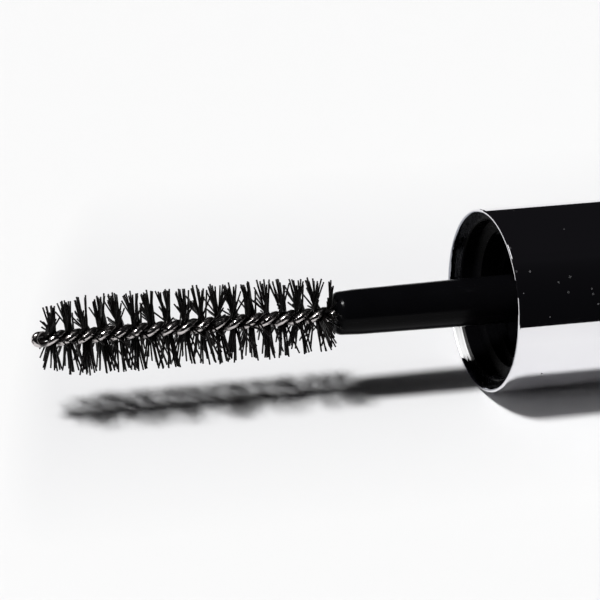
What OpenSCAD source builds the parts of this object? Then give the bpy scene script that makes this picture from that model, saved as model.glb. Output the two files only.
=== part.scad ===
// A mascara: a tube with a screwed neck and wiper, and an applicator of cap, stem and
// twisted-wire brush. It lies along X, resting on Z = 0, with the applicator pulled out of the
// tube and ahead of it on the same axis.

/* [Body] */
// Outer diameter of the tube and of the cap
body_d = 15.7; // [14.6:0.1:17]
// Wall of the two metal shells
shell_wall = 0.3; // [0.25:0.05:0.35]
// Length of the cap, from its mouth to its closed end
cap_len = 42; // [32:1:60]
// Length of the tube, from its shoulder to its base
tube_len = 46; // [46:1:70]
// Thickness of the rim of each end plug
plug_rim = 0.8; // [0.6:0.1:1.2]

/* [Applicator] */
// Distance from the cap's mouth to the tip of the brush
reach = 40.5; // [34:0.5:41]
// Distance from the cap's mouth to the front of the stem
stem_reach = 13.8; // [10:0.1:18]
// Stem diameter at the cap's mouth
stem_d = 4.1; // [3.7:0.05:4.1]
// Stem diameter at its front end
stem_tip_d = 3.86; // [3.4:0.02:3.9]

/* [Brush] */
// Diameter of the wire
wire_d = 0.66; // [0.5:0.02:0.7]
// Turn of the plane of the wire's bend about the axis, from the front upwards
bend_turn = 116; // [0:1:180]
// Length of one full turn of the twisted wire
wire_pitch = 2.92; // [2.4:0.02:3.4]
// Diameter over the bristles
brush_d = 6.7; // [5:0.1:8]
// Diameter of one bristle
bristle_d = 0.12; // [0.08:0.01:0.12]
// Bristles in one turn of the wire, on each side
bristles_per_turn = 24; // [8:2:24]

/* [Neck and thread] */
// Height of the neck above the shoulder
neck_len = 7.1; // [7:0.1:7.2]
// Diameter of the neck between its threads
neck_d = 10.2; // [10:0.1:10.4]
// Bore of the neck
neck_bore_d = 7.8; // [7.6:0.1:8]
// Advance of the thread in one turn
thread_lead = 3.8; // [3.4:0.1:4]
// Diameter of the hole that the wiper's lip leaves
wiper_hole_d = 4.25; // [4.2:0.05:4.4]

/* [Layout] */
// Free space between the tube's neck and the brush when the applicator is out
gap = 14; // [10:1:30]

/* [Hidden] */
$fn = 64;

body_r = body_d / 2;
shell_r = body_r - shell_wall;   // inside of the metal shells
fit = 0.02;                      // clearance of pieces pressed into each other
seat = 0.2;                      // space between the cap's mouth and the shoulder when closed
edge = 0.25;                     // rounding of the end plugs' rims

// X of the shoulder and of the cap's mouth, with the whole object centred on X = 0
total = tube_len + neck_len + gap + reach + cap_len;
x_shoulder = tube_len - total / 2;
x_mouth = total / 2 - cap_len;

// Heights above the shoulder
spigot_h = 1.9;
collar_flange = 0.8;
collar_skirt = 2.3;
wiper_flange = 0.6;
bottle_floor = reach - seat + 1.4;
bottle_wall = 0.9;
neck_r = neck_d / 2;

// Depths behind the cap's mouth
liner_front = 0.8;
guide_depth = 1.9;
guide_r = shell_r - 0.7;
washer_front = neck_len + wiper_flange - seat + 0.1;
washer_t = 0.7;
flange_front = washer_front + washer_t + 0.1;
flange_t = 1.2;
web_front = flange_front + flange_t + 0.1;
web_t = 1.8;
socket_end = web_front + 10;
liner_end = web_front + 14;

// Thread
thread_h = 0.65;
thread_base = 0.9;
thread_crest = 0.45;
thread_clear = 0.2;
liner_root_r = neck_r + thread_h + thread_clear;
thread_turns = 1;
steps_per_turn = 32;

// Stem
plug_r = 2.8;
wire_bore_r = wire_d + 0.06;
wire_bore_depth = 6.4;

// Bristles
bristle_root = 0.3;

// ---------- helpers ----------

// Puts a piece built along Z on the axis, with its Z = 0 at x
module on_axis(x) {
    translate([x, 0, body_r]) rotate([0, 90, 0]) children();
}
module at_mouth() { on_axis(x_mouth) children(); }
// Mirrors the wire's right-hand twist, and turns its bend into place
module left_handed() { rotate(90 - bend_turn) mirror([1, 0, 0]) children(); }
module at_shoulder() { on_axis(x_shoulder) children(); }

// Points of an arc, for the corners of turned profiles
function arc(c, r, from, to, n = 5) =
    [for (i = [0:n]) let (a = from + (to - from) * i / n) c + r * [cos(a), sin(a)]];

// One closed solid through a list of rings that all have the same number of points
module skin(rings) {
    n = len(rings[0]);
    last = len(rings) - 1;
    points = [for (ring = rings) for (p = ring) p];
    sides = [
        for (i = [0:last - 1], j = [0:n - 1])
            let (a = i * n + j, b = i * n + (j + 1) % n)
            for (t = [[a, b, a + n], [b, b + n, a + n]]) t
    ];
    ends = [[for (j = [n - 1:-1:0]) j], [for (j = [0:n - 1]) last * n + j]];
    polyhedron(points = points, faces = concat(sides, ends), convexity = 8);
}

// One thread ridge: a right-hand helix about Z. side is 1 outwards from the wall, -1 inwards.
module thread_ridge(wall_r, z0, start, side) {
    sink = 0.15;
    n = steps_per_turn * thread_turns;
    fade_steps = 4;
    rings = [
        for (i = [0:n])
            let (
                a = start + 360 * i / steps_per_turn,
                z = z0 + thread_lead * i / steps_per_turn,
                fade = min(1, (i + 1) / fade_steps, (n - i + 1) / fade_steps),
                root = wall_r - side * sink,
                crest = wall_r + side * thread_h * fade,
                profile = [
                    [root, -thread_base / 2], [crest, -thread_crest / 2],
                    [crest, thread_crest / 2], [root, thread_base / 2]
                ]
            )
            [for (k = [0:3]) let (p = profile[side > 0 ? k : 3 - k])
                [p[0] * cos(a), p[0] * sin(a), z + p[1]]]
    ];
    skin(rings);
}
module two_start_thread(wall_r, z0, side, phase = 0) {
    for (s = [0, 180]) thread_ridge(wall_r, z0, s + phase, side);
}

// An end of a metal shell at z, softened where it meets another piece. way is 1 for the upper
// end and -1 for the lower one.
function shell_end(z, way) =
    let (soft = 0.1, mid = (shell_r + body_r) / 2, half = shell_wall / 2)
    [for (p = [[half, soft], [half - soft, 0], [soft - half, 0], [-half, soft]])
        [mid + way * p[0], z - way * p[1]]];

// A turned end plug: its outer face at z = 0, its spigot running up to z = depth
module end_plug(depth) {
    wall = 1;
    rotate_extrude() polygon(concat(
        [[0, 0]],
        arc([body_r - edge, edge], edge, -90, 0),
        [
            [body_r, plug_rim], [shell_r - fit, plug_rim], [shell_r - fit, depth - 0.3],
            [shell_r - fit - 0.3, depth], [shell_r - fit - wall, depth],
            [shell_r - fit - wall, plug_rim + 0.2], [0, plug_rim + 0.2]
        ]
    ));
}

// ---------- tube ----------

module tube_sleeve() {
    color([0.82, 0.82, 0.84]) at_shoulder() rotate_extrude()
        polygon(concat(shell_end(plug_rim - tube_len, -1), shell_end(-collar_flange, 1)));
}

module tube_base_plug() {
    color([0.8, 0.8, 0.82]) at_shoulder() translate([0, 0, -tube_len]) end_plug(2.6);
}

// The inner bottle: a reservoir, a shoulder and a neck with a two-start thread
module tube_bottle() {
    outer_r = shell_r - 0.45;
    band_r = shell_r - fit;
    inner_r = outer_r - bottle_wall;
    bore_r = neck_bore_d / 2;
    top = -collar_skirt - 0.1;
    bottom = -bottle_floor - bottle_wall;
    band = 2;
    cone_top = -3.6;
    color([0.05, 0.05, 0.055]) at_shoulder() union() {
        rotate_extrude() polygon([
            [0, bottom], [outer_r, bottom], [outer_r, bottom + 1.5],
            [band_r, bottom + 1.8], [band_r, bottom + 1.8 + band], [outer_r, bottom + 2.1 + band],
            [outer_r, top - band - 0.3], [band_r, top - band], [band_r, top],
            [neck_r, top], [neck_r, neck_len - 0.25], [neck_r - 0.25, neck_len],
            [bore_r, neck_len], [bore_r, cone_top], [inner_r, cone_top - 2.2],
            [inner_r, -bottle_floor + 0.8], [inner_r - 0.8, -bottle_floor], [0, -bottle_floor]
        ]);
        two_start_thread(neck_r, 2.55, 1);
    }
}

// The bright ring that covers the shoulder and guides the cap's mouth
module tube_collar() {
    bore = neck_r + 0.05;
    spigot_r = guide_r - 0.2;
    color([0.8, 0.8, 0.82]) at_shoulder() rotate_extrude() polygon([
        [bore, -collar_skirt], [shell_r - fit, -collar_skirt], [shell_r - fit, -collar_flange],
        [body_r - 0.05, -collar_flange], [body_r, -collar_flange + 0.05], [body_r, -0.1],
        [body_r - 0.1, 0], [spigot_r, 0], [spigot_r, spigot_h - 0.2],
        [spigot_r - 0.2, spigot_h], [bore, spigot_h]
    ]);
}

// The soft insert whose lip strips the stem and brush as they are drawn out
module wiper() {
    plug_out = neck_bore_d / 2 - fit;
    plug_in = plug_out - 0.58;
    hole_r = wiper_hole_d / 2;
    lip = 0.35;
    cone_from = -1;
    cone_to = -4.1;
    color([0.1, 0.1, 0.1]) at_shoulder() rotate_extrude() polygon([
        [plug_in + 0.3, neck_len + wiper_flange], [neck_r - 0.4, neck_len + wiper_flange],
        [neck_r - 0.4, neck_len], [plug_out, neck_len], [plug_out, cone_from],
        [hole_r + lip, cone_to], [hole_r, cone_to], [hole_r, cone_to + 0.4],
        [plug_in, cone_from + 0.2], [plug_in, neck_len + wiper_flange - 0.3]
    ]);
}

// ---------- applicator ----------

module seal_washer() {
    soft = 0.1;
    bore = stem_d / 2 + 0.08;
    rim = liner_root_r - thread_h - 0.4;
    color([0.75, 0.75, 0.72]) at_mouth() translate([0, 0, washer_front])
        rotate_extrude() polygon([
            [bore, 0], [rim - soft, 0], [rim, soft], [rim, washer_t - soft],
            [rim - soft, washer_t], [bore, washer_t]
        ]);
}

// The cap's metal skin, with a fully rounded rim at the mouth
module cap_shell() {
    lip = shell_wall / 2;
    color([0.82, 0.82, 0.84]) at_mouth() rotate_extrude() polygon(concat(
        arc([shell_r + lip, lip], lip, 180, 360, 8),
        shell_end(cap_len - plug_rim, 1)
    ));
}

module cap_end_plug() {
    color([0.8, 0.8, 0.82]) at_mouth() translate([0, 0, cap_len]) rotate([180, 0, 0]) end_plug(4);
}

// The black inner cap: guide bore, thread, web and stem socket, with ribs that grip the shell
module cap_liner() {
    band_r = shell_r - fit;
    skirt_r = shell_r - 0.55;
    socket_r = plug_r + 1.1;
    ribs = 12;
    fins = 4;
    color([0.04, 0.04, 0.045]) at_mouth() union() {
        rotate_extrude() polygon([
            [guide_r + 0.1, liner_front], [band_r, liner_front], [band_r, guide_depth + 1],
            [skirt_r, guide_depth + 1], [skirt_r, liner_end], [skirt_r - 0.9, liner_end],
            [skirt_r - 0.9, web_front + web_t], [socket_r, web_front + web_t],
            [socket_r, socket_end], [plug_r, socket_end], [plug_r, web_front],
            [liner_root_r, web_front], [liner_root_r, guide_depth + 0.4],
            [guide_r, guide_depth], [guide_r, liner_front + 0.1]
        ]);
        two_start_thread(liner_root_r, guide_depth + 0.9, -1, liner_phase());
        for (i = [0:ribs - 1]) rotate(360 / ribs * i)
            translate([skirt_r - 0.2, -0.35, guide_depth + 0.8])
                cube([shell_r - 0.04 - skirt_r + 0.2, 0.7, liner_end - guide_depth - 1.2]);
        for (i = [0:fins - 1]) rotate(360 / fins * i)
            translate([socket_r - 0.3, -0.4, web_front + web_t - 0.2])
                cube([skirt_r - 0.9 - socket_r + 0.5, 0.8, 7]);
    }
}

// Phase that puts the liner's ridges midway between the neck's when the cap is home
function liner_phase() =
    let (neck_z = 2.55, liner_z = guide_depth + 0.9 + seat)
    360 * (liner_z - neck_z) / thread_lead + 90;

// The rod: rounded front with a blind bore for the wire, a slight taper, a flange and a plug
module stem() {
    front_r = stem_tip_d / 2;
    round_r = 0.8;
    lead = 0.08;
    front = -stem_reach;
    bore_end = front + wire_bore_depth;
    root_r = stem_d / 2;
    flange_r = liner_root_r - thread_h - 0.5;
    flange_end = flange_front + flange_t;
    plug_end = socket_end - 0.6;
    color([0.03, 0.03, 0.035]) at_mouth() rotate_extrude() polygon(concat(
        [[0, bore_end], [wire_bore_r, bore_end - 0.4], [wire_bore_r, front]],
        arc([front_r - lead - round_r, front + round_r], round_r, -90, -4, 6),
        [
            [front_r, front + 2.2], [root_r, -1.5], [root_r, flange_front],
            [flange_r - 0.15, flange_front], [flange_r, flange_front + 0.15],
            [flange_r, flange_end], [plug_r - fit, flange_end],
            [plug_r - fit, plug_end - 0.8], [plug_r - 0.7, plug_end], [0, plug_end]
        ]
    ));
}

// ---------- brush ----------

// Angle of the wire's first strand at a distance u from the bend. The twist opens out over the
// last stretch, so that the strands meet in the bend.
open_len = 1.0;
function twist(u) = 360 / wire_pitch * (u < open_len ? u * u / (2 * open_len) : u - open_len / 2);
function twist_rate(u) = 360 / wire_pitch * min(1, u / open_len);

strand_r = wire_d / 2 + 0.015;
tip_u = strand_r + wire_d / 2;   // distance from the end of the bend to where the strands start

// A ring of the wire's surface about p, square to the direction t. e is a normal there, and roll
// turns the ring's first point away from it.
function wire_ring(p, t, e, roll = 0, sides = 7) =
    let (b = cross(e, t))
    [for (k = [0:sides - 1]) let (a = 360 * k / sides + roll)
        p + wire_d / 2 * (cos(a) * e + sin(a) * b)];

// The ring at distance u on a strand. Its roll undoes the turning of the normal, so that the
// surface between two rings isn't wrung.
function strand_ring(u, turn, way) =
    let (
        a = twist(u) + turn,
        e = [cos(a), sin(a), 0],
        slope = strand_r * twist_rate(u) * PI / 180,
        t = way * [-sin(a) * slope, cos(a) * slope, 1],
        roll = way * twist(u) * cos(atan(strand_r * 2 * PI / wire_pitch))
    )
    wire_ring([strand_r * cos(a), strand_r * sin(a), u - reach + tip_u], t / norm(t), e, roll);

function bend_ring(phi) =
    let (e = [cos(phi), 0, -sin(phi)])
    wire_ring([0, 0, tip_u - reach] + strand_r * e, [-sin(phi), 0, -cos(phi)], e);

// One wire, bent double at the tip and twisted on itself, with its two ends in the stem
module brush_wire() {
    wire_end = reach - tip_u - stem_reach + wire_bore_depth - 0.7;
    rings_per_turn = 12;
    n = ceil(wire_end / wire_pitch * rings_per_turn);
    us = [for (i = [0:n]) wire_end * i / n];
    color([0.62, 0.61, 0.6]) at_mouth() left_handed() skin(concat(
        [for (i = [n:-1:1]) strand_ring(us[i], 0, -1)],
        [for (phi = [0:30:180]) bend_ring(phi)],
        [for (i = [1:n]) strand_ring(us[i], 180, 1)]
    ));
}

// Radius over the bristles at a distance u from the tip: bluntly pointed, and drawn in a
// little at the stem
function brush_r(u) =
    let (
        full = brush_d / 2,
        nose = 6,
        tail = 3.2,
        left = reach - stem_reach - u,
        front = u < nose ? 0.42 + 0.58 * sqrt(max(0, 1 - pow(1 - u / nose, 2))) : 1,
        back = left < tail ? 0.86 + 0.14 * left / tail : 1
    )
    full * min(front, back);

// Straight fibres that leave the wire on both sides, between its strands
module brush_bristles() {
    first = 1.3;
    last = reach - stem_reach - 0.4;
    step = wire_pitch / bristles_per_turn;
    count = floor((last - first) / step);
    color([0.02, 0.02, 0.02]) at_mouth() left_handed()
        for (i = [0:count], side = [90, -90])
            let (u = first + i * step)
            translate([0, 0, u - reach]) rotate(twist(u - tip_u) + side) rotate([0, 90, 0])
                translate([0, 0, bristle_root])
                    cylinder(d = bristle_d, h = brush_r(u) - bristle_root, $fn = 6);
}

tube_sleeve();
tube_base_plug();
tube_bottle();
tube_collar();
wiper();
seal_washer();
cap_shell();
cap_end_plug();
cap_liner();
stem();
brush_wire();
brush_bristles();
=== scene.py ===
"""Looks of the mascara: camera, studio, materials, and the twisted-wire brush in full detail."""
import math
import random

import bpy
from mathutils import Matrix, Vector


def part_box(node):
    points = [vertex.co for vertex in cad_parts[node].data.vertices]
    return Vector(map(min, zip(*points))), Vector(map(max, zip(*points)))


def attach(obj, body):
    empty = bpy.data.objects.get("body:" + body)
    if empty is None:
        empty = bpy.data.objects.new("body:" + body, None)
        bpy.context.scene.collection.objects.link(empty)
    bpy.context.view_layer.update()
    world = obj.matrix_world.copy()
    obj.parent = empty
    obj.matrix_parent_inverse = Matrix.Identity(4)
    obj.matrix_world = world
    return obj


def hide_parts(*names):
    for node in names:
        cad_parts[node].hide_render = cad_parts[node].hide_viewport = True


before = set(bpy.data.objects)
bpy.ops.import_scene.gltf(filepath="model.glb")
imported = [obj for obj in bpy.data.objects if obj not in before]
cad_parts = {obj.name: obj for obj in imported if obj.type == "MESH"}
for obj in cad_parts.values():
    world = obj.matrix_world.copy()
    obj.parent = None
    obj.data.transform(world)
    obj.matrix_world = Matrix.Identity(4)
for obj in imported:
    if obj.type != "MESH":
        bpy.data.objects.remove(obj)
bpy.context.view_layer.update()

MM = 0.001

# ---------- places that come from the frame ----------

cap_low, cap_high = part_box("cap_shell")
mouth_x = cap_low.x
axis_z = (cap_low.z + cap_high.z) / 2
cap_r = (cap_high.z - cap_low.z) / 2
tip_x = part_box("brush_wire")[0].x
wire_end_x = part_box("brush_wire")[1].x
stem_front_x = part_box("stem")[0].x
brush_low, brush_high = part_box("brush_bristles")
brush_r_full = (brush_high.z - brush_low.z) / 2

# ---------- camera ----------

VIEW_TURN = math.radians(23.4)     # the camera stands this far to the left of the object's front
VIEW_RISE = math.radians(28)
VIEW_ROLL = math.radians(6.55)
VIEW_DISTANCE = 488 * MM
LOOK_BEFORE_MOUTH = 16.85 * MM     # the point looked at: this far from the mouth towards the tip
LOOK_OVER_AXIS = 1.62 * MM         # and this far above the axis
FOCAL_SHARE = 5810 / 600           # focal length over the sensor's width
SENSOR = 36                        # the sensor's width in millimetres, as Blender takes it
NEAREST, FURTHEST = 0.01, 50       # what the camera sees lies between these distances


def make_camera():
    """A long lens, looking down at a point over the brush's rear end, and rolled a little."""
    target = Vector((mouth_x - LOOK_BEFORE_MOUTH, 0, axis_z + LOOK_OVER_AXIS))
    back = Vector((
        -math.sin(VIEW_TURN) * math.cos(VIEW_RISE),
        -math.cos(VIEW_TURN) * math.cos(VIEW_RISE),
        math.sin(VIEW_RISE),
    ))
    right = Vector((0, 0, 1)).cross(back).normalized()
    up = back.cross(right)
    cos_roll, sin_roll = math.cos(VIEW_ROLL), math.sin(VIEW_ROLL)
    rolled_right = cos_roll * right + sin_roll * up
    rolled_up = cos_roll * up - sin_roll * right
    data = bpy.data.cameras.new("camera")
    data.sensor_width = SENSOR
    data.lens = SENSOR * FOCAL_SHARE
    data.clip_start = NEAREST
    data.clip_end = FURTHEST
    camera = bpy.data.objects.new("camera", data)
    bpy.context.scene.collection.objects.link(camera)
    axes = Matrix((rolled_right, rolled_up, back)).transposed().to_4x4()
    camera.matrix_world = Matrix.Translation(target + VIEW_DISTANCE * back) @ axes
    bpy.context.scene.camera = camera


# ---------- material helpers ----------

# In a Mix node set to colours, the numbers of the two colour inputs and of the colour output
MIX_LOW, MIX_HIGH, MIX_OUT = 6, 7, 2
SPOT_EDGE = 0.6                    # a spot is solid up to this share of its radius, then fades


class Nodes:
    """A small builder around one material's node tree."""

    def __init__(self, name):
        self.material = bpy.data.materials.new(name)
        self.material.use_nodes = True
        self.tree = self.material.node_tree
        self.shader = self.tree.nodes["Principled BSDF"]
        self.place = self.add("ShaderNodeTexCoord").outputs["Object"]

    def add(self, kind, **values):
        node = self.tree.nodes.new(kind)
        for key, value in values.items():
            setattr(node, key, value)
        return node

    def link(self, source, target):
        self.tree.links.new(source, target)

    def set(self, **values):
        """Plain values on the shader's own sockets."""
        for key, value in values.items():
            self.shader.inputs[key.replace("_", " ")].default_value = value

    def stretch(self, scale):
        """The object's coordinates, scaled by three factors."""
        mapping = self.add("ShaderNodeMapping")
        self.link(self.place, mapping.inputs["Vector"])
        mapping.inputs["Scale"].default_value = scale
        return mapping.outputs["Vector"]

    def noise(self, size_mm, detail=3, stretch=(1, 1, 1)):
        """Noise with features about size_mm across."""
        node = self.add("ShaderNodeTexNoise")
        self.link(self.stretch(stretch), node.inputs["Vector"])
        node.inputs["Scale"].default_value = 1 / (size_mm * MM)
        node.inputs["Detail"].default_value = detail
        return node.outputs["Fac"]

    def from_axis(self):
        """Distance from the object's axis."""
        shift = self.add("ShaderNodeVectorMath", operation="SUBTRACT")
        self.link(self.place, shift.inputs[0])
        shift.inputs[1].default_value = (0, 0, axis_z)
        flatten = self.add("ShaderNodeVectorMath", operation="MULTIPLY")
        self.link(shift.outputs["Vector"], flatten.inputs[0])
        flatten.inputs[1].default_value = (0, 1, 1)
        size = self.add("ShaderNodeVectorMath", operation="LENGTH")
        self.link(flatten.outputs["Vector"], size.inputs[0])
        return size.outputs["Value"]

    def from_point(self, x, y, z):
        """Distance from a point."""
        node = self.add("ShaderNodeVectorMath", operation="DISTANCE")
        self.link(self.place, node.inputs[0])
        node.inputs[1].default_value = (x, y, z)
        return node.outputs["Value"]

    def spots(self, size_mm, share):
        """Small round spots about size_mm apart: 1 inside a spot, 0 outside. share is a spot's
        radius beside size_mm."""
        node = self.add("ShaderNodeTexVoronoi")
        self.link(self.place, node.inputs["Vector"])
        node.inputs["Scale"].default_value = 1 / (size_mm * MM)
        return self.remap(node.outputs["Distance"], share, share * SPOT_EDGE, 0, 1)

    def remap(self, source, low, high, to_low, to_high):
        """source turned from low..high into to_low..to_high, and held at those ends."""
        node = self.add("ShaderNodeMapRange")
        self.link(source, node.inputs["Value"])
        for name, value in zip(("From Min", "From Max", "To Min", "To Max"),
                               (low, high, to_low, to_high)):
            node.inputs[name].default_value = value
        return node.outputs["Result"]

    def maths(self, operation, a, b):
        """One sum. a and b are each a number or another node's output."""
        node = self.add("ShaderNodeMath", operation=operation)
        for socket, value in zip(node.inputs, (a, b)):
            if isinstance(value, (int, float)):
                socket.default_value = value
            else:
                self.link(value, socket)
        return node.outputs["Value"]

    def blend(self, factor, low, high):
        """A colour between low and high. Each is a colour, or another blend's output."""
        node = self.add("ShaderNodeMix", data_type="RGBA")
        self.link(factor, node.inputs["Factor"])
        for socket, value in ((node.inputs[MIX_LOW], low), (node.inputs[MIX_HIGH], high)):
            if isinstance(value, tuple):
                socket.default_value = (*value, 1)
            else:
                self.link(value, socket)
        return node.outputs[MIX_OUT]

    def colour(self, source):
        self.link(source, self.shader.inputs["Base Color"])

    def roughness(self, source):
        self.link(source, self.shader.inputs["Roughness"])

    def bump(self, height, depth_mm, strength=1.0):
        """Relief: a height of 1 stands depth_mm proud."""
        node = self.add("ShaderNodeBump")
        node.inputs["Strength"].default_value = strength
        node.inputs["Distance"].default_value = depth_mm * MM
        self.link(height, node.inputs["Height"])
        self.link(node.outputs["Normal"], self.shader.inputs["Normal"])


# ---------- materials ----------

SKIN_DEPTH = 0.2 * MM              # further than this under the outside is the inside's finish,
SKIN_FADE = 0.16 * MM              # and nearer than this is the polished one
GLINT_PATCH_DEPTH = 0.4 * MM               # the middle of the patch painted paler as a highlight: this far into the cap's mouth,
GLINT_PATCH_BACK = 4.1 * MM                # this far behind the axis
GLINT_PATCH_BELOW = 6.3 * MM               # and this far below it
GLINT_PATCH_RAGGED = 2.2 * MM              # how much the turned marks fray its edge
GLINT_PATCH_SOLID, GLINT_PATCH_END = 2.8 * MM, 2.9 * MM
GLINT_PATCH_ROUGHNESS = 0.6
INSIDE_TINT = (0.36, 0.37, 0.41)
# The patch's paler tint, where the lamp's glint falls: a painted highlight
GLINT_PATCH_TINT = (0.97, 0.97, 0.97)
DUST_TINT = (0.02, 0.02, 0.022)
# How deep the turned marks and the waves of the whole surface are
MARKS_MM, WAVES_MM = 0.014, 0.0006


def mirror_metal():
    """Polished and bright-anodised aluminium: a faint draw along the tube and some dust. The cap's
    inside and the end faces are darker and keep their turned marks, and one place just inside the
    cap's mouth is painted paler and made matt, so the lamp's glint spreads over it as a white
    patch; the paler tint there is a painted highlight."""
    m = Nodes("mirror_metal")
    inside = m.remap(m.from_axis(), cap_r - SKIN_DEPTH, cap_r - SKIN_FADE, 1, 0)
    cloud = m.noise(6, detail=2)
    dusty_places = m.remap(m.noise(4), 0.46, 0.52, 0, 1)
    dust = m.maths("MULTIPLY", m.spots(size_mm=1.1, share=0.085), dusty_places)
    m.link(m.remap(dust, 0, 0.35, 1, 0), m.shader.inputs["Metallic"])
    draw = m.noise(0.25, detail=4, stretch=(0.04, 1, 1))
    shine = m.remap(draw, 0.3, 0.7, 0.018, 0.05)
    marks = m.noise(0.16, detail=2, stretch=(1, 0.06, 0.06))
    to_glint_patch = m.from_point(mouth_x + GLINT_PATCH_DEPTH, GLINT_PATCH_BACK, axis_z - GLINT_PATCH_BELOW)
    ragged = m.maths("ADD", to_glint_patch, m.maths("MULTIPLY", marks, GLINT_PATCH_RAGGED))
    # The paler, matt patch just inside the mouth: a painted highlight where the lamp's glint falls
    glint_patch = m.maths("MULTIPLY", m.remap(ragged, GLINT_PATCH_SOLID, GLINT_PATCH_END, 1, 0), inside)
    tint = m.blend(cloud, (0.8, 0.795, 0.825), (0.86, 0.855, 0.875))
    tint = m.blend(m.maths("SUBTRACT", inside, glint_patch), tint, INSIDE_TINT)
    tint = m.blend(glint_patch, tint, GLINT_PATCH_TINT)
    m.colour(m.blend(m.remap(dust, 0, 0.35, 0, 1), tint, DUST_TINT))
    dull = m.maths("MULTIPLY", glint_patch, GLINT_PATCH_ROUGHNESS)
    dull = m.maths("MAXIMUM", m.remap(dust, 0.35, 0.8, 0, 0.9), dull)
    m.roughness(m.maths("ADD", shine, dull))
    cut = m.maths("MULTIPLY", m.maths("MULTIPLY", marks, inside), MARKS_MM)
    waves = m.maths("MULTIPLY", m.noise(3.5, detail=1), WAVES_MM)
    m.bump(m.maths("ADD", cut, waves), 1)
    return m.material


def black_gloss():
    """The stem's polished black plastic."""
    m = Nodes("black_gloss")
    m.set(IOR=1.5, Specular_IOR_Level=0.045)
    m.colour(m.blend(m.noise(4), (0.0012, 0.0012, 0.0015), (0.0025, 0.0025, 0.003)))
    streaks = m.noise(0.3, detail=4, stretch=(0.08, 1, 1))
    m.roughness(m.remap(streaks, 0.3, 0.7, 0.15, 0.24))
    m.bump(m.noise(0.8, detail=2), 0.002, 0.6)
    return m.material


def black_moulded():
    """The moulded black polypropylene of the inner cap and the bottle."""
    m = Nodes("black_moulded")
    m.set(IOR=1.49, Specular_IOR_Level=0.018)
    m.colour(m.blend(m.noise(2.5), (0.0008, 0.0008, 0.001), (0.0018, 0.0018, 0.0022)))
    m.roughness(m.remap(m.noise(0.4, detail=4), 0.3, 0.7, 0.2, 0.32))
    m.bump(m.noise(0.25, detail=3), 0.001, 0.5)
    return m.material


def soft_rubber():
    """The wiper's matt black elastomer."""
    m = Nodes("soft_rubber")
    m.colour(m.blend(m.noise(1.5), (0.012, 0.012, 0.012), (0.03, 0.03, 0.03)))
    m.roughness(m.remap(m.noise(0.3, detail=5), 0.3, 0.7, 0.5, 0.7))
    m.bump(m.noise(0.15, detail=4), 0.006, 0.6)
    return m.material


def seal_foam():
    """The washer's pale closed-cell foam."""
    m = Nodes("seal_foam")
    m.colour(m.blend(m.noise(0.4, detail=5), (0.55, 0.54, 0.5), (0.74, 0.73, 0.69)))
    m.roughness(m.remap(m.noise(0.3), 0.3, 0.7, 0.7, 0.9))
    m.bump(m.spots(0.18, 0.5), 0.02, 0.8)
    return m.material


LUMP_FROM_TIP = 1.0 * MM
LUMP_SOLID, LUMP_END = 0.6 * MM, 0.7 * MM
GROOVE_SOLID, GROOVE_END = 0.42 * MM, 0.52 * MM    # from the axis
BEND_CLEAN, GROOVES_FROM = 0.7 * MM, 0.95 * MM     # from the tip


def wire_steel():
    """Drawn steel wire, black where something has dried on it: in a lump just behind the bend and
    in a few marks. Between the strands, past the bend, it is painted black as shade."""
    m = Nodes("wire_steel")
    to_lump = m.from_point(tip_x + LUMP_FROM_TIP, 0, axis_z)
    lump = m.remap(to_lump, LUMP_SOLID, LUMP_END, 1, 0)
    blackened = m.remap(m.noise(0.7, detail=2), 0.66, 0.72, 0, 1)
    # Black between the strands, past the bend: painted shade in the crevices
    groove_shade = m.remap(m.from_axis(), GROOVE_SOLID, GROOVE_END, 1, 0)
    past_bend = m.remap(m.from_point(tip_x, 0, axis_z), BEND_CLEAN, GROOVES_FROM, 0, 1)
    blackened = m.maths("MAXIMUM", blackened, m.maths("MULTIPLY", groove_shade, past_bend))
    residue_and_groove_shade = m.maths("MAXIMUM", lump, blackened)
    metal = m.blend(m.noise(0.9), (0.5, 0.465, 0.46), (0.68, 0.64, 0.63))
    # The dried lump and marks, and the painted shade between the strands, turn the metal black
    m.colour(m.blend(residue_and_groove_shade, metal, (0.006, 0.005, 0.005)))
    m.link(m.remap(residue_and_groove_shade, 0, 1, 1, 0.1), m.shader.inputs["Metallic"])
    scratches = m.noise(0.12, detail=4)
    m.roughness(m.remap(scratches, 0.3, 0.7, 0.13, 0.22))
    m.bump(scratches, 0.001, 0.5)
    return m.material


def bristle_nylon():
    """Black nylon with a trace of brown."""
    m = Nodes("bristle_nylon")
    m.set(IOR=1.53, Specular_IOR_Level=0.1)
    m.colour(m.blend(m.noise(0.8), (0.0006, 0.0005, 0.0005), (0.003, 0.0022, 0.0022)))
    m.roughness(m.remap(m.noise(0.2, detail=4), 0.3, 0.7, 0.28, 0.5))
    m.bump(m.noise(0.06, detail=2), 0.004, 0.5)
    return m.material


BAND_MIDDLE = 10 * MM              # the painted shade band's middle line: this far behind the axis
BAND_SOLID, BAND_END = 10 * MM, 30 * MM
BAND_FROM_TIP = 4 * MM             # where the band starts to end, near the brush's tip
BAND_END_RATE = 5.5                # how much faster it fades past its end than at its sides


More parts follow.
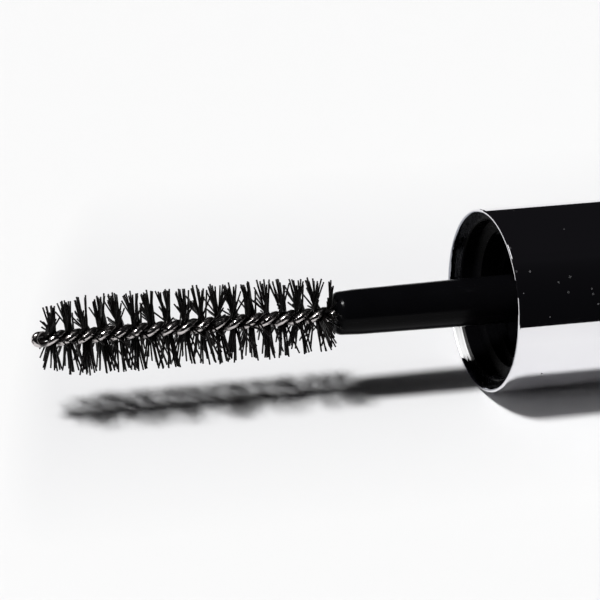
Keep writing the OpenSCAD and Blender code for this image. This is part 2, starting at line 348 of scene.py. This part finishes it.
def floor_white():
    """Matt pale board, with painted shade: a little darker in a band along the object that ends
    near the brush's tip."""
    m = Nodes("floor_white")
    parts = m.add("ShaderNodeSeparateXYZ")
    m.link(m.place, parts.inputs["Vector"])
    x_share = m.maths("MULTIPLY", parts.outputs["X"], -math.cos(VIEW_TURN))
    y_share = m.maths("MULTIPLY", parts.outputs["Y"], math.sin(VIEW_TURN))
    start = (tip_x + BAND_FROM_TIP) * math.cos(VIEW_TURN)
    past_tip = m.maths("ADD", m.maths("ADD", x_share, y_share), start)
    past_tip = m.maths("MAXIMUM", m.maths("MULTIPLY", past_tip, BAND_END_RATE), 0)
    aside = m.maths("SUBTRACT", parts.outputs["Y"], BAND_MIDDLE)
    squares = m.maths("ADD", m.maths("POWER", past_tip, 2), m.maths("POWER", aside, 2))
    # Darker near the object, paler further off: painted shade round the object
    far = m.remap(m.maths("SQRT", squares, 0), BAND_SOLID, BAND_END, 0, 1)
    board = m.blend(m.noise(40), (0.60, 0.60, 0.607), (0.612, 0.612, 0.619))
    m.colour(m.blend(far, board, (0.675, 0.675, 0.675)))
    m.roughness(m.remap(m.noise(3), 0.3, 0.7, 0.75, 0.9))
    m.set(Specular_IOR_Level=0.1)
    return m.material


# ---------- mesh helpers ----------

def add_piece(name, points, faces, material, body):
    """A smooth-shaded mesh piece that rides on a body."""
    mesh = bpy.data.meshes.new(name)
    mesh.from_pydata(points, [], faces)
    mesh.validate()
    mesh.shade_smooth()
    mesh.materials.append(material)
    piece = bpy.data.objects.new(name, mesh)
    bpy.context.scene.collection.objects.link(piece)
    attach(piece, body)
    return piece


def skin_rings(points, faces, rings):
    """Adds one closed tube through rings that all have the same number of points."""
    first = len(points)
    count = len(rings[0])
    for ring in rings:
        points.extend(ring)
    for i in range(len(rings) - 1):
        a = first + i * count
        for j in range(count):
            k = (j + 1) % count
            faces.append((a + j, a + k, a + count + k, a + count + j))
    last = first + (len(rings) - 1) * count
    faces.append(tuple(range(first + count - 1, first - 1, -1)))
    faces.append(tuple(range(last, last + count)))


def ring_about(centre, tangent, normal, radius, sides, turn=0.0):
    """A ring of points round centre, square to tangent, starting near normal."""
    t = tangent.normalized()
    e = (normal - normal.dot(t) * t).normalized()
    b = t.cross(e)
    angles = [2 * math.pi * k / sides + turn for k in range(sides)]
    return [centre + radius * (math.cos(a) * e + math.sin(a) * b) for a in angles]


# ---------- the brush ----------

WIRE_D = 0.66 * MM
WIRE_PITCH = 2.92 * MM
OPEN_LENGTH = 1.0 * MM             # the twist opens out over this length before the bend
BEND_TURN = math.radians(116)      # the bend's plane, from the front upwards
STRAND_R = WIRE_D / 2 + 0.01 * MM  # from the axis to each strand's centre
BEND_DEPTH = STRAND_R + WIRE_D / 2  # from the tip to where the two strands start
WIRE_SIDES = 14
RINGS_PER_TURN = 26
BEND_RINGS = 12
SMALL_STEP = 1e-6                  # for the slope of the twist


def twist(u):
    """How far the strands have turned at a distance u from the bend."""
    turns = u * u / (2 * OPEN_LENGTH) if u < OPEN_LENGTH else u - OPEN_LENGTH / 2
    return 2 * math.pi * turns / WIRE_PITCH


def outward(angle):
    """The direction out of the axis at an angle, from the front upwards."""
    return Vector((0, -math.cos(angle), math.sin(angle)))


def axis_point(u):
    """The point on the axis at a distance u from the bend."""
    return Vector((tip_x + BEND_DEPTH + u, 0, axis_z))


def strand_rings(side, distances, sides):
    """Rings along one strand. side is 0 or pi, for the two strands."""
    rings = []
    for u in distances:
        angle = BEND_TURN + side + twist(u)
        out = outward(angle)
        around = Vector((0, math.sin(angle), math.cos(angle)))
        rate = (twist(u + SMALL_STEP) - twist(u)) / SMALL_STEP
        tangent = Vector((1, 0, 0)) + STRAND_R * rate * around
        cos_slope = 1 / tangent.length
        rings.append(ring_about(axis_point(u) + STRAND_R * out, tangent, out, WIRE_D / 2,
                                sides, -twist(u) * cos_slope))
    return rings


def make_wire(material):
    """One wire bent double at the tip and twisted on itself."""
    sides = WIRE_SIDES
    length = wire_end_x - tip_x - BEND_DEPTH
    step = WIRE_PITCH / RINGS_PER_TURN
    distances = [i * step for i in range(1, int(length / step))] + [length]
    out = outward(BEND_TURN)
    back = Vector((-1, 0, 0))
    bend = []
    for i in range(BEND_RINGS + 1):
        phi = math.pi * i / BEND_RINGS
        e = math.cos(phi) * out + math.sin(phi) * back
        tangent = math.cos(phi) * back - math.sin(phi) * out
        bend.append(ring_about(axis_point(0) + STRAND_R * e, tangent, e, WIRE_D / 2, sides))
    second = strand_rings(math.pi, distances, sides)
    # The first strand runs towards the bend, so its rings turn the other way round
    first = [[ring[-k % sides] for k in range(sides)]
             for ring in reversed(strand_rings(0, distances, sides))]
    points, faces = [], []
    skin_rings(points, faces, first + bend + second)
    wire = add_piece("twisted_wire", points, faces, material, "applicator")
    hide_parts("brush_wire")


NOSE, NOSE_SHARE = 6 * MM, 0.42    # the nose's length, and its radius at the tip as a share
TAIL, TAIL_SHARE = 3.2 * MM, 0.9   # the same for the end by the stem


def brush_radius(u_tip):
    """Radius over the bristles at a distance from the tip: a blunt nose and a drawn-in end."""
    left = stem_front_x - tip_x - u_tip
    front = end = 1.0
    if u_tip < NOSE:
        roundness = math.sqrt(max(0.0, 1 - (1 - u_tip / NOSE) ** 2))
        front = NOSE_SHARE + (1 - NOSE_SHARE) * roundness
    if left < TAIL:
        end = TAIL_SHARE + (1 - TAIL_SHARE) * left / TAIL
    return brush_r_full * min(front, end)


SEED = 7
FIBRE_R = 0.088 * MM
FIBRE_TAPER = 0.14                 # a fibre is thinner by this share at its end
FIBRE_R_SHARES = (0.94, 1.06)      # how its thickness varies along it
FIBRE_SIDES = 6
FIBRE_STEPS = 5
FIBRE_ROOT = 0.15 * MM             # a fibre starts this far from the axis
FIBRES_PER_TURN = 64
STEP_SHARES = (0.7, 1.3)           # how the step from fibre to fibre varies
LENGTH_SHARES = (0.93, 1.02)       # and how the length of their halves does
FIRST_FROM_TIP = 0.85 * MM         # the first fibre's distance from the brush's tip
LAST_FROM_STEM = 0.1 * MM          # the least distance of the last one from the stem
LOCK_SIZES = (2, 3, 3, 4, 5)       # how many neighbours stick together
# Spreads of the lean along the axis and of the sweep round it. A whole lock has a lean, each of
# its two halves has a lean and a sweep of its own, and so has each half of a fibre.
LINE_SPREAD = math.radians(3)
LOCK_LEAN_SPREAD = math.radians(3)
LOCK_SWEEP_SPREAD = math.radians(5)
LEAN_SPREAD = math.radians(7.5)
SWEEP_SPREAD = math.radians(6)
LEAN_LIMIT = math.radians(17)
GATHER = 0.12                      # the share by which the ends of a lock draw together
CURL_SPREAD = 0.03                 # spread of the bend in a fibre, as a share of its length
CURL_BACK = 0.4                    # a bent fibre crosses its straight line this far along it
COMBED = math.radians(6)           # the fibres above lean to the tip, and those below to the stem
WORN_SIDE = math.radians(12)       # the side where most of the fibres have come out
WORN_WIDTH_COS = 0.5               # cosine of how far the worn part reaches to either side
UNWORN_TURNS = 0.6                 # it stops this many turns of the twist before the last fibre
WORN_MISSING = 0.78                # the share that is missing there
TIP_MISSING = 0.5                  # and the share that is missing where the twist opens out
SHORT_SHARE = 0.05                 # the share of the halves that are broken off short
SHORT_SHARES = (0.45, 0.8)         # and what is left of their length


def fibre_rings(u, angle, lean, sweep, length, curl, rng):
    """One half of a fibre: from between the strands outwards, leaning along the axis by lean and
    round it by sweep, and bent by curl, which is how much and which way."""
    steps = FIBRE_STEPS
    out = outward(angle)
    around = Vector((0, math.sin(angle), math.cos(angle)))
    along = Vector((1, 0, 0))
    base = axis_point(u) + FIBRE_ROOT * out
    run = length - FIBRE_ROOT
    side = math.cos(curl[1]) * along + math.sin(curl[1]) * around
    centres = []
    for i in range(steps + 1):
        t = i / steps
        offset = (math.tan(lean) * along + math.tan(sweep) * around) * t
        centres.append(base + run * (t * out + offset + curl[0] * (t * t - CURL_BACK * t) * side))
    rings = []
    for i, centre in enumerate(centres):
        before, after = centres[max(i - 1, 0)], centres[min(i + 1, steps)]
        radius = FIBRE_R * (1 - FIBRE_TAPER * i / steps) * rng.uniform(*FIBRE_R_SHARES)
        rings.append(ring_about(centre, after - before, along, radius, FIBRE_SIDES))
    return rings


def make_bristles(material):
    """Straight nylon fibres held between the strands. Neighbours stick together in small locks,
    and most are missing on the worn side."""
    rng = random.Random(SEED)
    last = stem_front_x - tip_x - BEND_DEPTH - LAST_FROM_STEM
    step = WIRE_PITCH / FIBRES_PER_TURN
    points, faces = [], []
    lock_left = 0
    locks = []
    u = FIRST_FROM_TIP - BEND_DEPTH
    while u < last:
        if lock_left == 0:
            lock_left = rng.choice(LOCK_SIZES)
            line = rng.gauss(0, LINE_SPREAD)
            locks = [(line + rng.gauss(0, LOCK_LEAN_SPREAD), rng.gauss(0, LOCK_SWEEP_SPREAD), u)
                     for _ in range(2)]
        lock_left -= 1
        # The two halves of a fibre point opposite ways
        for side, (lock_lean, lock_sweep, lock_u) in zip((1, -1), locks):
            angle = BEND_TURN + twist(max(u, 0)) + side * 0.5 * math.pi
            on_worn_side = math.cos(angle - WORN_SIDE) > WORN_WIDTH_COS
            missing = 0
            if on_worn_side and last - u > UNWORN_TURNS * WIRE_PITCH:
                missing = WORN_MISSING
            elif u < OPEN_LENGTH:
                missing = TIP_MISSING
            if rng.random() < missing:
                continue
            reach = brush_radius(u + BEND_DEPTH)
            length = reach * rng.uniform(*LENGTH_SHARES)
            if rng.random() < SHORT_SHARE:
                length *= rng.uniform(*SHORT_SHARES)
            lean = side * lock_lean + rng.gauss(0, LEAN_SPREAD) - COMBED * math.sin(angle)
            lean -= GATHER * (u - lock_u) / reach
            sweep = lock_sweep + rng.gauss(0, SWEEP_SPREAD)
            lean = max(-LEAN_LIMIT, min(LEAN_LIMIT, lean))
            curl = (rng.gauss(0, CURL_SPREAD), rng.uniform(0, 2 * math.pi))
            skin_rings(points, faces,
                       fibre_rings(u, angle, lean, sweep, length * math.cos(lean), curl, rng))
        u += step * rng.uniform(*STEP_SHARES)
    bristles = add_piece("bristles", points, faces, material, "applicator")
    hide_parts("brush_bristles")


# ---------- studio ----------

FLOOR_HALF = 12                    # half of the board's side, in metres
LIGHT_TRAVEL = Vector((0.43, 0.055, -0.90))
ROOM_COLOUR, ROOM_STRENGTH = (0.88, 0.84, 1, 1), 0.008
BACKGROUND = (0.87, 0.87, 0.88, 1)


def make_floor():
    """A board far larger than the view."""
    size = FLOOR_HALF
    corners = [(-size, -size, 0), (size, -size, 0), (size, size, 0), (-size, size, 0)]
    mesh = bpy.data.meshes.new("floor")
    mesh.from_pydata(corners, [], [(0, 1, 2, 3)])
    mesh.materials.append(floor_white())
    floor = bpy.data.objects.new("floor", mesh)
    bpy.context.scene.collection.objects.link(floor)


def make_lamp(name, angle, energy):
    """A sun lamp high up on the brush's side, and a little to the front."""
    data = bpy.data.lights.new(name, "SUN")
    data.angle = math.radians(angle)
    data.energy = energy
    lamp = bpy.data.objects.new(name, data)
    lamp.rotation_mode = "QUATERNION"
    lamp.rotation_quaternion = LIGHT_TRAVEL.to_track_quat("-Z", "Y")
    bpy.context.scene.collection.objects.link(lamp)


def make_flag():
    """A dark card in front that the camera doesn't see and the polished pieces reflect. It glows
    a little, and more towards its top."""
    half_width, height = 0.8, 0.8
    front = -70 * MM
    glow_height = 0.25
    corners = [(-half_width, front, 0), (half_width, front, 0),
               (half_width, front, height), (-half_width, front, height)]
    mesh = bpy.data.meshes.new("flag")
    mesh.from_pydata(corners, [], [(0, 1, 2, 3)])
    card = Nodes("flag_dark")
    card.set(Specular_IOR_Level=0.0, Base_Color=(0, 0, 0, 1), Emission_Strength=1.0)
    parts = card.add("ShaderNodeSeparateXYZ")
    card.link(card.place, parts.inputs["Vector"])
    rise = card.remap(parts.outputs["Z"], 0, glow_height, 0, 1)
    glow = card.blend(rise, (0.003, 0.003, 0.0036), (0.0068, 0.0066, 0.0078))
    card.link(glow, card.shader.inputs["Emission Color"])
    mesh.materials.append(card.material)
    flag = bpy.data.objects.new("flag", mesh)
    flag.visible_camera = False
    flag.visible_diffuse = False
    flag.visible_shadow = False
    bpy.context.scene.collection.objects.link(flag)


def make_world():
    """A dark room for reflections, and a white background where the camera sees past the floor."""
    world = bpy.data.worlds.new("studio")
    world.use_nodes = True
    bpy.context.scene.world = world
    nodes, links = world.node_tree.nodes, world.node_tree.links
    nodes.clear()
    output = nodes.new("ShaderNodeOutputWorld")
    room = nodes.new("ShaderNodeBackground")
    room.inputs["Color"].default_value = ROOM_COLOUR
    room.inputs["Strength"].default_value = ROOM_STRENGTH
    seen = nodes.new("ShaderNodeBackground")
    seen.inputs["Color"].default_value = BACKGROUND
    path = nodes.new("ShaderNodeLightPath")
    mix = nodes.new("ShaderNodeMixShader")
    links.new(path.outputs["Is Camera Ray"], mix.inputs["Fac"])
    links.new(room.outputs["Background"], mix.inputs[1])
    links.new(seen.outputs["Background"], mix.inputs[2])
    links.new(mix.outputs["Shader"], output.inputs["Surface"])


def dress_frame():
    """Gives its finished material to every CAD node that isn't replaced."""
    metal, moulded = mirror_metal(), black_moulded()
    finish = {
        "tube_sleeve": metal,
        "tube_base_plug": metal,
        "tube_collar": metal,
        "cap_shell": metal,
        "cap_end_plug": metal,
        "tube_bottle": moulded,
        "cap_liner": moulded,
        "stem": black_gloss(),
        "wiper": soft_rubber(),
        "seal_washer": seal_foam(),
    }
    for node, material in finish.items():
        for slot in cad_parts[node].material_slots:
            slot.material = material


make_camera()
make_floor()
make_lamp("key", angle=10.5, energy=4.57)
make_lamp("key_surround", angle=36, energy=0.4)
make_flag()
make_world()
dress_frame()
make_wire(wire_steel())
make_bristles(bristle_nylon())
bpy.context.scene.view_settings.view_transform = "Standard"
